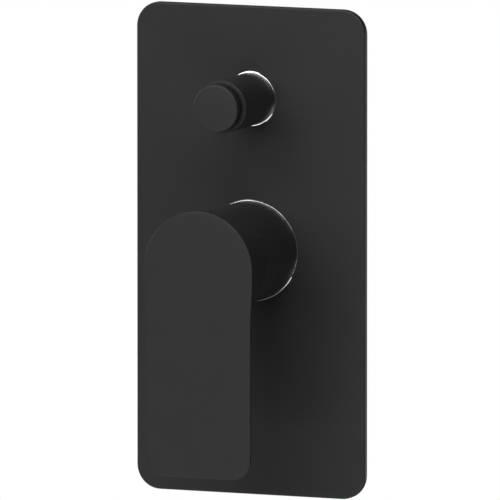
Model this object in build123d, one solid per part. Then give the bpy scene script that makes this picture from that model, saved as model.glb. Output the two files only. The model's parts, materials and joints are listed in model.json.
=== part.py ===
from build123d import *
import os
from math import sqrt

os.makedirs("parts", exist_ok=True)

# Frame: +X right, +Y into the wall, +Z up, origin on the handle axis at the finished wall.

# Trim plate
PLATE_WIDTH = 110.0
PLATE_HEIGHT = 220.0
PLATE_CORNER_R = 11.0
PLATE_DEPTH = 3.0
PLATE_SHEET = 1.2
PLATE_EDGE_R = 0.8
GASKET_INSET = 0.3

# Clearances between pieces
SEAT_GAP = 0.03
RUN_GAP = 0.05
SLIDE_GAP = 0.10
MOVE_GAP = 0.30

# How far a cutter runs past the face that it opens
OVERCUT = 1.0

# Trim rings round the handle and the diverter
RING_LIP = 0.4
RING_STEP = 0.2
HANDLE_RING_WALL = 0.42
DIVERTER_RING_WALL = 0.66
RING_EDGE = 0.1
RING_FLANGE = 2.4
RING_SEAL_D = 1.2

# Handle sleeve and lever handle
SLEEVE_WALL = 1.2
PIVOT_DEPTH = 20.0
PARTING_DEPTH = 35.8
HANDLE_DEPTH = 62.4
HANDLE_PROUD = 0.1
HANDLE_RIM = 0.15
ARCH_R = 26.0
ARCH_DROP = 1.3
ARCH_SIDE_END = -4.5
PADDLE_HALF_W = 25.15
PADDLE_EASE_END = -26.4
PADDLE_BOTTOM = -94.7
PADDLE_CORNER_R = 9.0
PADDLE_THICK = 6.0
PADDLE_EDGE = 1.0
HANDLE_EDGE_R = 0.6
CAVITY_R = 18.5
CAVITY_WALL = 7.4
HUB_R = 9.5
HUB_LENGTH = 16.0
HUB_ROOT = 0.5
STEM_SEAT = 1.0
GRUB_STEP = 1.0
GRUB_R = 2.5
GRUB_LENGTH = 5.0
GRUB_KEY_R = 1.4
GRUB_BEHIND_FACE = 16.7
PLUG_R = 2.6
PLUG_LENGTH = 3.0
PLUG_RECESS = 1.0

# Ceramic cartridge
STEM_SIDE = 8.0
STEM_TAIL = 4.0
STEM_NECK_R = 2.0
BALL_R = 3.2
BALL_ARM = 7.5
PIN_R = 2.0
PIN_LENGTH = 26.0
LIFT_SLOT_UP = 9.4
LIFT_SLOT_DOWN = 6.4
ROTOR_BOSS_R = 12.4
ROTOR_FRONT = 11.0
ROTOR_SHOULDER = 2.0
ROTOR_REAR = 5.8
RAIL_HALF_GAP = 11.0
RAIL_WIDTH = 2.0
RAIL_HEIGHT = 12.0
RAIL_LENGTH = 4.8
CARRIER_R = 11.8
CARRIER_THICK = 5.6
MOVING_DISC_R = 11.3
MOVING_DISC_THICK = 3.5
MIX_POCKET_R = 9.4
MIX_POCKET_EDGE = -1.0
MIX_POCKET_DEEP = 1.8
DISC_GAP = 0.03
FIXED_DISC_THICK = 3.97
PORT_R = 2.4
SUPPLY_PORT_X = 5.5
SUPPLY_PORT_Z = -4.4
MIXED_PORT_Z = 4.5
DISC_SEAL_THICK = 1.0
BASE_THICK = 4.0
PORT_SEAL_R = 3.7
PORT_SEAL_D = 1.28
HOUSING_R = 17.5
HOUSING_WALL = 1.5
HOUSING_NECK_WALL = 1.55
HOUSING_NECK_LENGTH = 6.0
HOUSING_ROOF = 2.0
NUT_LEDGE = 1.5
NUT_LENGTH = 7.5
NUT_SLOT_WIDTH = 4.0
NUT_SLOT_DEEP = 1.8

# Diverter button and valve
DIVERTER_Z = 68.3
SHROUD_WALL = 1.1
SHROUD_LIP = 1.6
SHROUD_CHAMFER = 0.5
BUTTON_R = 10.65
BUTTON_DEPTH = 41.9
BUTTON_CAP = 2.8
BUTTON_FRONT_WALL = 3.0
BUTTON_WALL = 1.5
BUTTON_STOP_GAP = 0.8
BUTTON_CAP_GAP = 0.4
BUTTON_HUB_R = 5.0
BUTTON_HUB_LENGTH = 5.4
ROD_SEAT = 0.5
BUTTON_CHAMFER = 0.6
PRESS_TRAVEL = 4.5
ROD_R = 3.0
ROD_COLLAR_R = 5.0
ROD_COLLAR = 2.0
ROD_END_GAP = 0.5
GLAND_R = 8.0
GLAND_LENGTH = 20.0
GLAND_HEX = 17.0
GLAND_HEAD = 2.5
ROD_SEAL_D = 1.54
SPRING_R = 6.6
SPRING_WIRE_R = 0.55
SPRING_GAP = 0.65
SPRING_TURNS = 4
WASHER_R = 7.4
WASHER_THICK = 3.0
SEAT_R = 6.2
FRONT_SEAT_Y = 21.0
REAR_SEAT_Y = 33.0
PLUG_SEAT_Y = 46.0
REAR_PLUG_R = 8.0
REAR_PLUG_HEX = 16.0
REAR_PLUG_HEAD = 3.0
REAR_PLUG_CROWN = 0.7

# Valve body in the wall
NECK_WALL = 1.8
NECK_GAP = 0.4
NECK_SEAL_D = 1.5
NECK_SEAL_Y = -20.0
DIVERTER_NECK_WALL = 2.2
DIVERTER_NECK_FRONT = -24.0
SHROUD_SEAL_D = 1.4
SHROUD_SEAL_Y = -14.0
BARREL_R = 22.0
BARREL_START = 3.0
BARREL_END = 38.0
DIVERTER_BARREL_R = 13.5
DIVERTER_BARREL_START = 1.0
DIVERTER_BARREL_END = 52.0
BOSS_R = 13.0
CAST_CHAMFER = 0.8
SOCKET_R = 9.32
SOCKET_LENGTH = 14.0
WATERWAY_R = 6.0
INLET_FACE_X = 35.0
INLET_Y = 24.0
INLET_Z = -7.0
INLET_STOP_X = 2.0
RISER_Y = 27.0
RISER_R = 8.0
RISER_BORE_R = 6.0
RISER_SUMP = 1.0
SUPPLY_BORE_R = 5.0
RISER_BOSS_R = 11.5
RISER_SOCKET = 9.0
RISER_LOW_FACE_Z = 28.0
RISER_HIGH_FACE_Z = 48.0
TOP_OUTLET_Y = 15.6
TOP_BORE_R = 5.0
TOP_OUTLET_FACE_Z = 100.0
SIDE_OUTLET_Y = 38.5
SIDE_BORE_R = 4.5
SIDE_OUTLET_FACE_X = -32.0
LUG_LENGTH = 84.0
LUG_HEIGHT = 16.0
LUG_THICK = 6.0
LUG_CORNER_R = 4.0
LUG_Y = 14.0
LUG_HOLE_R = 2.75
LUG_HOLE_X = 36.0
LUG_TOP_Z = 58.0
LUG_BOTTOM_Z = -26.0

# Radii of the pieces that fit round each other, from the cartridge and the gland outwards
HOUSING_BORE_R = HOUSING_R - HOUSING_WALL
ROTOR_FLANGE_R = HOUSING_BORE_R - SLIDE_GAP
HOUSING_NECK_R = ROTOR_BOSS_R + RUN_GAP + HOUSING_NECK_WALL
NUT_THREAD_R = HOUSING_R + NUT_LEDGE
NECK_R = NUT_THREAD_R + NECK_WALL
SLEEVE_BORE_R = NECK_R + NECK_GAP
SLEEVE_R = SLEEVE_BORE_R + SLEEVE_WALL
HANDLE_REAR_R = SLEEVE_R + HANDLE_PROUD
DIVERTER_NECK_R = GLAND_R + DIVERTER_NECK_WALL
SHROUD_BORE_R = DIVERTER_NECK_R + NECK_GAP
SHROUD_R = SHROUD_BORE_R + SHROUD_WALL
BUTTON_BORE_R = SPRING_R + SPRING_WIRE_R + SPRING_GAP
BUTTON_SKIRT_R = BUTTON_BORE_R + BUTTON_WALL
SHROUD_MOUTH_R = BUTTON_SKIRT_R + MOVE_GAP

# Planes along the depth that the sizes above fix
PLATE_FRONT = -PLATE_DEPTH
SHEET_BACK = PLATE_FRONT + PLATE_SHEET
PIVOT_Y = PLATE_FRONT - PIVOT_DEPTH
PARTING_Y = PLATE_FRONT - PARTING_DEPTH
HANDLE_FRONT = PLATE_FRONT - HANDLE_DEPTH
PADDLE_BAND = HANDLE_FRONT + PADDLE_EDGE
CAVITY_FRONT = HANDLE_FRONT + CAVITY_WALL
GRUB_Y = HANDLE_FRONT + GRUB_BEHIND_FACE
ROTOR_REAR_Y = PIVOT_Y + ROTOR_REAR
CARRIER_FRONT = ROTOR_REAR_Y + SLIDE_GAP
CARRIER_REAR = CARRIER_FRONT + CARRIER_THICK
MOVING_DISC_REAR = CARRIER_REAR + MOVING_DISC_THICK
FIXED_DISC_FRONT = MOVING_DISC_REAR + DISC_GAP
FIXED_DISC_REAR = FIXED_DISC_FRONT + FIXED_DISC_THICK
BASE_FRONT = FIXED_DISC_REAR + DISC_SEAL_THICK
FLOOR_Y = BASE_FRONT + BASE_THICK
ROTOR_SHOULDER_Y = PIVOT_Y - ROTOR_SHOULDER
HOUSING_SHOULDER_Y = ROTOR_SHOULDER_Y - HOUSING_ROOF
HOUSING_FRONT = HOUSING_SHOULDER_Y - HOUSING_NECK_LENGTH
NUT_FRONT = HOUSING_SHOULDER_Y - NUT_LENGTH
BUTTON_FRONT = PLATE_FRONT - BUTTON_DEPTH
BUTTON_INNER = BUTTON_FRONT + BUTTON_FRONT_WALL
BUTTON_CAP_BACK = BUTTON_FRONT + BUTTON_CAP
SHROUD_FRONT = BUTTON_CAP_BACK + PRESS_TRAVEL + BUTTON_CAP_GAP
GLAND_FRONT = DIVERTER_NECK_FRONT - GLAND_HEAD
GLAND_REAR = DIVERTER_NECK_FRONT + GLAND_LENGTH
FRONT_WASHER_REAR = FRONT_SEAT_Y - PRESS_TRAVEL - SLIDE_GAP
REAR_WASHER_FRONT = REAR_SEAT_Y + RUN_GAP

PORTS = {
    "hot": (-SUPPLY_PORT_X, SUPPLY_PORT_Z),
    "cold": (SUPPLY_PORT_X, SUPPLY_PORT_Z),
    "mixed": (0.0, MIXED_PORT_Z),
}


def turned(points, z=0.0):
    """Solid turned about the Y direction from (radius, depth) points."""
    outline = Polyline(*points, close=True)
    return Pos(0, 0, z) * revolve(make_face(outline), Axis.Y)


def rod_y(radius, start, end, x=0.0, z=0.0):
    """Round bar along the depth from start to end."""
    return Pos(x, (start + end) / 2, z) * Rot(90, 0, 0) * Cylinder(radius, abs(end - start))


def rod_x(radius, start, end, y, z):
    """Round bar along the width from start to end."""
    return Pos((start + end) / 2, y, z) * Rot(0, 90, 0) * Cylinder(radius, abs(end - start))


def rod_z(radius, start, end, x, y):
    """Round bar along the height from start to end."""
    return Pos(x, y, (start + end) / 2) * Cylinder(radius, abs(end - start))


def block(x0, x1, y0, y1, z0, z1):
    """Box between the given limits."""
    return Pos((x0 + x1) / 2, (y0 + y1) / 2, (z0 + z1) / 2) * Box(x1 - x0, y1 - y0, z1 - z0)


def slab(sketch, start, end):
    """Sketch drawn in width and height, made into a slab from start to end in depth."""
    return Pos(0, end, 0) * extrude(Rot(90, 0, 0) * sketch, amount=end - start, dir=(0, -1, 0))


def hexagon_y(across_flats, start, end, z=0.0):
    """Hexagon bar along the depth."""
    sketch = Pos(0, z) * RegularPolygon(across_flats / 2, 6, major_radius=False)
    return slab(sketch, start, end)


def eased_ends(bar):
    """Round bar with both of its end edges chamfered."""
    return chamfer(bar.edges().filter_by(GeomType.CIRCLE), CAST_CHAMFER)


def ring_seal(centre_r, section_d, y, x=0.0, z=0.0):
    """Round-section rubber ring about the depth direction."""
    return Pos(x, y, z) * Rot(90, 0, 0) * Torus(centre_r, section_d / 2)


def save(name, solid):
    """Write one piece."""
    export_step(solid, f"parts/{name}.step")


# Face plate: a drawn sheet tray with two round openings
HANDLE_RING_IN = SLEEVE_R + SLIDE_GAP
HANDLE_RING_OUT = HANDLE_RING_IN + HANDLE_RING_WALL
DIVERTER_RING_IN = SHROUD_R + SLIDE_GAP
DIVERTER_RING_OUT = DIVERTER_RING_IN + DIVERTER_RING_WALL

plate_outline = RectangleRounded(PLATE_WIDTH, PLATE_HEIGHT, PLATE_CORNER_R)
tray_outline = RectangleRounded(
    PLATE_WIDTH - 2 * PLATE_SHEET, PLATE_HEIGHT - 2 * PLATE_SHEET, PLATE_CORNER_R - PLATE_SHEET)
face_plate = slab(plate_outline, PLATE_FRONT, 0)
face_plate = fillet(face_plate.faces().sort_by(Axis.Y)[0].edges(), PLATE_EDGE_R)
face_plate -= slab(tray_outline, SHEET_BACK, 0)
face_plate -= rod_y(HANDLE_RING_OUT + SEAT_GAP, PLATE_FRONT - OVERCUT, 0)
face_plate -= rod_y(DIVERTER_RING_OUT + SEAT_GAP, PLATE_FRONT - OVERCUT, 0, z=DIVERTER_Z)
save("face_plate", face_plate)

# Foam gasket that fills the tray and meets the wall
gasket_outline = RectangleRounded(
    PLATE_WIDTH - 2 * (PLATE_SHEET + GASKET_INSET),
    PLATE_HEIGHT - 2 * (PLATE_SHEET + GASKET_INSET),
    PLATE_CORNER_R - PLATE_SHEET - GASKET_INSET)
plate_gasket = slab(gasket_outline, SHEET_BACK, 0)
plate_gasket -= rod_y(HANDLE_RING_OUT + RING_FLANGE + GASKET_INSET, SHEET_BACK - OVERCUT, OVERCUT)
plate_gasket -= rod_y(
    DIVERTER_RING_OUT + RING_FLANGE + GASKET_INSET, SHEET_BACK - OVERCUT, OVERCUT, z=DIVERTER_Z)
save("plate_gasket", plate_gasket)


def trim_ring(inner_r, outer_r, z):
    """Polished ring with a narrow sloped lip in front and a flange behind the sheet."""
    seal_r = inner_r + RING_SEAL_D
    lip_front = PLATE_FRONT - RING_LIP
    flange_r = outer_r + RING_FLANGE
    flange_back = -RING_STEP
    seal_front = SHEET_BACK + RING_STEP
    return turned([
        (inner_r, seal_front),
        (inner_r, lip_front),
        (inner_r + RING_EDGE, lip_front),
        (outer_r, PLATE_FRONT),
        (outer_r, SHEET_BACK),
        (flange_r, SHEET_BACK),
        (flange_r, flange_back),
        (seal_r + SEAT_GAP, flange_back),
        (seal_r + SEAT_GAP, seal_front),
    ], z)


# Trim rings and the rubber rings that grip the sleeve and the shroud
SEAL_MID_Y = SHEET_BACK + RING_STEP + RING_SEAL_D / 2 + SEAT_GAP
save("handle_trim_ring", trim_ring(HANDLE_RING_IN, HANDLE_RING_OUT, 0))
save("diverter_trim_ring", trim_ring(DIVERTER_RING_IN, DIVERTER_RING_OUT, DIVERTER_Z))
save("handle_ring_seal", ring_seal(HANDLE_RING_IN + RING_SEAL_D / 2, RING_SEAL_D, SEAL_MID_Y))
save("diverter_ring_seal", ring_seal(
    DIVERTER_RING_IN + RING_SEAL_D / 2, RING_SEAL_D, SEAL_MID_Y, z=DIVERTER_Z))

# Parting between sleeve and handle: both stop at balls centred on the lift pivot
rim_ahead = PIVOT_Y - PARTING_Y
HANDLE_BALL_R = sqrt((HANDLE_REAR_R - HANDLE_RIM) ** 2 + rim_ahead ** 2)
SLEEVE_BALL_R = HANDLE_BALL_R - MOVE_GAP

# Fixed sleeve over the cartridge neck
SLEEVE_BACK = -0.1
sleeve_front = PIVOT_Y - SLEEVE_BALL_R
handle_sleeve = rod_y(SLEEVE_R, sleeve_front, SLEEVE_BACK)
handle_sleeve -= rod_y(SLEEVE_BORE_R, sleeve_front - OVERCUT, SLEEVE_BACK + OVERCUT)
ball_limit = Pos(0, PIVOT_Y, 0) * Sphere(SLEEVE_BALL_R)
handle_sleeve = (handle_sleeve & ball_limit) + (handle_sleeve & rod_y(SLEEVE_R + OVERCUT, PIVOT_Y, OVERCUT))
save("handle_sleeve", handle_sleeve)


# Lever handle: a flared round boss that runs into a thin flat paddle
def paddle_outline():
    """Front outline: round top, waist eased to the paddle width, rounded bottom corners."""
    low = PADDLE_BOTTOM + PADDLE_CORNER_R
    flat = PADDLE_HALF_W - PADDLE_CORNER_R
    diag = PADDLE_CORNER_R * (1 - sqrt(0.5))
    lines = [
        ThreePointArc((-ARCH_R, -ARCH_DROP), (0, ARCH_R - ARCH_DROP), (ARCH_R, -ARCH_DROP)),
        Line((ARCH_R, -ARCH_DROP), (ARCH_R, ARCH_SIDE_END)),
        Spline((ARCH_R, ARCH_SIDE_END), (PADDLE_HALF_W, PADDLE_EASE_END), tangents=((0, -1), (0, -1))),
        Line((PADDLE_HALF_W, PADDLE_EASE_END), (PADDLE_HALF_W, low)),
        ThreePointArc(
            (PADDLE_HALF_W, low), (PADDLE_HALF_W - diag, PADDLE_BOTTOM + diag), (flat, PADDLE_BOTTOM)),
        Line((flat, PADDLE_BOTTOM), (-flat, PADDLE_BOTTOM)),
        ThreePointArc(
            (-flat, PADDLE_BOTTOM), (-PADDLE_HALF_W + diag, PADDLE_BOTTOM + diag), (-PADDLE_HALF_W, low)),
        Line((-PADDLE_HALF_W, low), (-PADDLE_HALF_W, PADDLE_EASE_END)),
        Spline((-PADDLE_HALF_W, PADDLE_EASE_END), (-ARCH_R, ARCH_SIDE_END), tangents=((0, 1), (0, 1))),
        Line((-ARCH_R, ARCH_SIDE_END), (-ARCH_R, -ARCH_DROP)),
    ]
    return make_face(lines)


paddle = slab(paddle_outline(), HANDLE_FRONT, HANDLE_FRONT + PADDLE_THICK)
paddle = chamfer(paddle.faces().sort_by(Axis.Y)[-1].edges(), PADDLE_THICK - PADDLE_EDGE)
paddle = fillet(paddle.faces().sort_by(Axis.Y)[0].edges(), HANDLE_EDGE_R)
rear_circle = Pos(0, PARTING_Y, 0) * Rot(90, 0, 0) * Circle(HANDLE_REAR_R)
front_circle = Pos(0, PADDLE_BAND, -ARCH_DROP) * Rot(90, 0, 0) * Circle(ARCH_R)
boss = loft([rear_circle, front_circle])
lever_handle = boss + paddle
lever_handle -= Pos(0, PIVOT_Y, 0) * Sphere(HANDLE_BALL_R)
lever_handle -= rod_y(CAVITY_R, CAVITY_FRONT, PARTING_Y)
lever_handle += rod_y(HUB_R, CAVITY_FRONT - HUB_ROOT, CAVITY_FRONT + HUB_LENGTH)
stem_hole = STEM_SIDE / 2 + SEAT_GAP
lever_handle -= block(
    -stem_hole, stem_hole, CAVITY_FRONT + STEM_SEAT - SEAT_GAP, PIVOT_Y, -stem_hole, stem_hole)
boss_share = (PARTING_Y - GRUB_Y) / (PARTING_Y - PADDLE_BAND)
boss_top = HANDLE_REAR_R + boss_share * (ARCH_R - ARCH_DROP - HANDLE_REAR_R)
lever_handle -= rod_z(GRUB_R, 0, HUB_R + GRUB_STEP, 0, GRUB_Y)
lever_handle -= rod_z(PLUG_R, HUB_R + GRUB_STEP, boss_top + OVERCUT, 0, GRUB_Y)
save("lever_handle", lever_handle)

# Grub screw that clamps the stem, and the plug over its access hole
grub_low = STEM_SIDE / 2 + SEAT_GAP
grub_high = grub_low + GRUB_LENGTH
grub_screw = rod_z(GRUB_R - SEAT_GAP, grub_low, grub_high, 0, GRUB_Y)
grub_key = extrude(RegularPolygon(GRUB_KEY_R, 6), amount=GRUB_LENGTH)
grub_screw -= Pos(0, GRUB_Y, grub_high - GRUB_LENGTH / 2) * grub_key
save("handle_grub_screw", grub_screw)
plug_high = boss_top - PLUG_RECESS
save("handle_grub_plug", rod_z(PLUG_R - SEAT_GAP, plug_high - PLUG_LENGTH, plug_high, 0, GRUB_Y))

# Stem: a square bar that tilts on the pin and moves the discs with its ball end
stem_half = STEM_SIDE / 2
stem = block(-stem_half, stem_half, CAVITY_FRONT + STEM_SEAT, PIVOT_Y + STEM_TAIL, -stem_half, stem_half)
ball_y = PIVOT_Y + BALL_ARM
stem += rod_y(STEM_NECK_R, PIVOT_Y, ball_y)
stem += Pos(0, ball_y, 0) * Sphere(BALL_R)
stem -= rod_x(PIN_R + RUN_GAP, -PIN_LENGTH, PIN_LENGTH, PIVOT_Y, 0)
save("cartridge_stem", stem)

# Rotor: turns in the housing, holds the pin and guides the disc carrier between rails
rotor = rod_y(ROTOR_BOSS_R, PIVOT_Y - ROTOR_FRONT, ROTOR_REAR_Y)
rotor += rod_y(ROTOR_FLANGE_R, ROTOR_SHOULDER_Y, ROTOR_REAR_Y)
for side in (-1, 1):
    rail_mid = side * (RAIL_HALF_GAP + RAIL_WIDTH / 2)
    rotor += Pos(rail_mid, ROTOR_REAR_Y + RAIL_LENGTH / 2, 0) * Box(RAIL_WIDTH, RAIL_LENGTH, RAIL_HEIGHT)
slot_half = stem_half + SLIDE_GAP
slot_front = PIVOT_Y - ROTOR_FRONT - OVERCUT
rotor -= block(
    -slot_half, slot_half, slot_front, ROTOR_REAR_Y + OVERCUT, -LIFT_SLOT_DOWN, LIFT_SLOT_UP)
rotor -= rod_x(PIN_R + SEAT_GAP, -PIN_LENGTH, PIN_LENGTH, PIVOT_Y, 0)
save("lever_rotor", rotor)
save("lever_pin", rod_x(PIN_R, -PIN_LENGTH / 2, PIN_LENGTH / 2, PIVOT_Y, 0))

# Disc carrier with a socket for the stem's ball
carrier_half = RAIL_HALF_GAP - SLIDE_GAP
carrier = rod_y(CARRIER_R, CARRIER_FRONT, CARRIER_REAR)
carrier &= block(-carrier_half, carrier_half, CARRIER_FRONT, CARRIER_REAR, -CARRIER_R, CARRIER_R)
carrier -= rod_y(BALL_R + SLIDE_GAP, CARRIER_FRONT - OVERCUT, CARRIER_REAR + OVERCUT)
save("disc_carrier", carrier)

# Moving disc with the mixing pocket, and the fixed disc with its three ports
moving_disc = rod_y(MOVING_DISC_R, CARRIER_REAR, MOVING_DISC_REAR)
pocket = rod_y(MIX_POCKET_R, MOVING_DISC_REAR - MIX_POCKET_DEEP, MOVING_DISC_REAR + OVERCUT)
pocket &= block(
    -MIX_POCKET_R, MIX_POCKET_R, CARRIER_REAR, MOVING_DISC_REAR + OVERCUT, MIX_POCKET_EDGE, MIX_POCKET_R)
moving_disc -= pocket
save("moving_disc", moving_disc)

fixed_disc = rod_y(HOUSING_BORE_R - SLIDE_GAP, FIXED_DISC_FRONT, FIXED_DISC_REAR)
disc_seal = rod_y(HOUSING_BORE_R - MOVE_GAP, FIXED_DISC_REAR, BASE_FRONT)
cartridge_base = rod_y(HOUSING_R, BASE_FRONT, FLOOR_Y)
for name, (port_x, port_z) in PORTS.items():
    port = rod_y(PORT_R, FIXED_DISC_FRONT - OVERCUT, FLOOR_Y + OVERCUT, port_x, port_z)
    fixed_disc -= port
    disc_seal -= port
    cartridge_base -= port
    groove_half = PORT_SEAL_D / 2 + SEAT_GAP
    groove_start = FLOOR_Y - PORT_SEAL_D - 2 * SEAT_GAP
    groove = rod_y(PORT_SEAL_R + groove_half, groove_start, FLOOR_Y, port_x, port_z)
    groove -= rod_y(PORT_SEAL_R - groove_half, groove_start, FLOOR_Y, port_x, port_z)
    cartridge_base -= groove
    seal_y = FLOOR_Y - SEAT_GAP - PORT_SEAL_D / 2
    save(f"{name}_port_seal", ring_seal(PORT_SEAL_R, PORT_SEAL_D, seal_y, port_x, port_z))
save("fixed_disc", fixed_disc)
save("disc_seal", disc_seal)
save("cartridge_base", cartridge_base)

# Cartridge housing and the threaded nut that clamps it down
housing_step = ROTOR_SHOULDER_Y - RUN_GAP
housing_neck_bore = ROTOR_BOSS_R + RUN_GAP
save("cartridge_housing", turned([
    (HOUSING_BORE_R, BASE_FRONT),
    (HOUSING_R, BASE_FRONT),
    (HOUSING_R, HOUSING_SHOULDER_Y),
    (HOUSING_NECK_R, HOUSING_SHOULDER_Y),
    (HOUSING_NECK_R, HOUSING_FRONT),
    (housing_neck_bore, HOUSING_FRONT),
    (housing_neck_bore, housing_step),
    (HOUSING_BORE_R, housing_step),
]))
cartridge_nut = rod_y(NUT_THREAD_R, NUT_FRONT, HOUSING_SHOULDER_Y)
cartridge_nut -= rod_y(HOUSING_NECK_R + SLIDE_GAP, NUT_FRONT - OVERCUT, HOUSING_SHOULDER_Y + OVERCUT)
nut_slot = Box(2 * (NUT_THREAD_R + OVERCUT), 2 * NUT_SLOT_DEEP, NUT_SLOT_WIDTH)
for turn in (0, 90):
    cartridge_nut -= Pos(0, NUT_FRONT, 0) * Rot(0, turn, 0) * nut_slot
save("cartridge_nut", cartridge_nut)

# Diverter shroud with a lip round its mouth
save("diverter_shroud", turned([
    (SHROUD_BORE_R, SLEEVE_BACK),
    (SHROUD_R, SLEEVE_BACK),
    (SHROUD_R, SHROUD_FRONT + SHROUD_CHAMFER),
    (SHROUD_R - SHROUD_CHAMFER, SHROUD_FRONT),
    (SHROUD_MOUTH_R, SHROUD_FRONT),
    (SHROUD_MOUTH_R, SHROUD_FRONT + SHROUD_LIP),
    (SHROUD_BORE_R, SHROUD_FRONT + SHROUD_LIP),
], DIVERTER_Z))

# Push button: a cap in front of the shroud and a skirt that slides in its mouth
button_back = GLAND_FRONT - PRESS_TRAVEL - BUTTON_STOP_GAP
hub_back = BUTTON_INNER + BUTTON_HUB_LENGTH
rod_front = BUTTON_INNER + ROD_SEAT
save("diverter_button", turned([
    (0, BUTTON_FRONT),
    (BUTTON_R - BUTTON_CHAMFER, BUTTON_FRONT),
    (BUTTON_R, BUTTON_FRONT + BUTTON_CHAMFER),
    (BUTTON_R, BUTTON_CAP_BACK),
    (BUTTON_SKIRT_R, BUTTON_CAP_BACK),
    (BUTTON_SKIRT_R, button_back),
    (BUTTON_BORE_R, button_back),
    (BUTTON_BORE_R, BUTTON_INNER),
    (BUTTON_HUB_R, BUTTON_INNER),
    (BUTTON_HUB_R, hub_back),
    (ROD_R + SEAT_GAP, hub_back),
    (ROD_R + SEAT_GAP, rod_front - SEAT_GAP),
    (0, rod_front - SEAT_GAP),
], DIVERTER_Z))

# Return spring between the gland and the button
spring_front = BUTTON_INNER + SPRING_WIRE_R + SEAT_GAP
spring_rise = GLAND_FRONT - BUTTON_INNER - 2 * (SPRING_WIRE_R + SEAT_GAP)
coil = Helix(pitch=spring_rise / SPRING_TURNS, height=spring_rise, radius=SPRING_R)
coil_section = (coil ^ 0) * RegularPolygon(SPRING_WIRE_R, 8)
spring = sweep(coil_section, path=coil, is_frenet=True)
save("button_spring", Pos(0, spring_front, DIVERTER_Z) * Rot(-90, 0, 0) * spring)

# Diverter rod with two collars, and the rubber washers that close the seats
front_collar_end = FRONT_WASHER_REAR - WASHER_THICK
rear_collar_start = REAR_WASHER_FRONT + WASHER_THICK
rod_end = PLUG_SEAT_Y - PRESS_TRAVEL - ROD_END_GAP
save("diverter_rod", turned([
    (0, rod_front),
    (ROD_R, rod_front),
    (ROD_R, front_collar_end - ROD_COLLAR),
    (ROD_COLLAR_R, front_collar_end - ROD_COLLAR),
    (ROD_COLLAR_R, front_collar_end),
    (ROD_R, front_collar_end),
    (ROD_R, rear_collar_start),
    (ROD_COLLAR_R, rear_collar_start),
    (ROD_COLLAR_R, rear_collar_start + ROD_COLLAR),
    (ROD_R, rear_collar_start + ROD_COLLAR),
    (ROD_R, rod_end),
    (0, rod_end),
], DIVERTER_Z))
washer_hole = rod_y(ROD_R + SEAT_GAP, front_collar_end - OVERCUT, rear_collar_start + OVERCUT, z=DIVERTER_Z)
save("front_washer", rod_y(WASHER_R, front_collar_end, FRONT_WASHER_REAR, z=DIVERTER_Z) - washer_hole)
save("rear_washer", rod_y(WASHER_R, REAR_WASHER_FRONT, rear_collar_start, z=DIVERTER_Z) - washer_hole)

# Gland that guides the rod, with its seal
rod_bore = ROD_R + RUN_GAP
seal_mid = (GLAND_FRONT + GLAND_REAR) / 2
gland = rod_y(GLAND_R, DIVERTER_NECK_FRONT, GLAND_REAR, z=DIVERTER_Z)
gland += hexagon_y(GLAND_HEX, GLAND_FRONT, DIVERTER_NECK_FRONT, DIVERTER_Z)
gland -= rod_y(rod_bore, GLAND_FRONT - OVERCUT, GLAND_REAR + OVERCUT, z=DIVERTER_Z)
seal_half = ROD_SEAL_D / 2 + SEAT_GAP
gland -= rod_y(rod_bore + 2 * seal_half, seal_mid - seal_half, seal_mid + seal_half, z=DIVERTER_Z)
save("diverter_gland", gland)
save("rod_seal", ring_seal(rod_bore + ROD_SEAL_D / 2, ROD_SEAL_D, seal_mid, z=DIVERTER_Z))

# Plug that closes the rear of the diverter chamber
head_end = DIVERTER_BARREL_END + REAR_PLUG_HEAD
head_corner_r = REAR_PLUG_HEX / sqrt(3)
plug_head = hexagon_y(REAR_PLUG_HEX, DIVERTER_BARREL_END, head_end, DIVERTER_Z)
plug_head &= turned([
    (0, DIVERTER_BARREL_END),
    (head_corner_r, DIVERTER_BARREL_END),
    (head_corner_r, head_end - REAR_PLUG_CROWN),
    (REAR_PLUG_HEX / 2, head_end),
    (0, head_end),
], DIVERTER_Z)
save("rear_plug", plug_head + rod_y(REAR_PLUG_R, PLUG_SEAT_Y, DIVERTER_BARREL_END, z=DIVERTER_Z))


def fixing_lugs(z):
    """Flat bar with round corners and a screw hole near each end."""
    bar = slab(Pos(0, z) * RectangleRounded(LUG_LENGTH, LUG_HEIGHT, LUG_CORNER_R), LUG_Y, LUG_Y + LUG_THICK)
    for x in (-LUG_HOLE_X, LUG_HOLE_X):
        bar -= rod_y(LUG_HOLE_R, LUG_Y - OVERCUT, LUG_Y + LUG_THICK + OVERCUT, x, z)
    return bar


def neck_groove(bore_r, seal_d, y, z):
    """Groove that seats a rubber ring just inside the given bore."""
    half = seal_d / 2 + SEAT_GAP
    groove_r = bore_r - seal_d - SEAT_GAP
    return rod_y(bore_r, y - half, y + half, z=z) - rod_y(groove_r, y - half, y + half, z=z)


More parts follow.
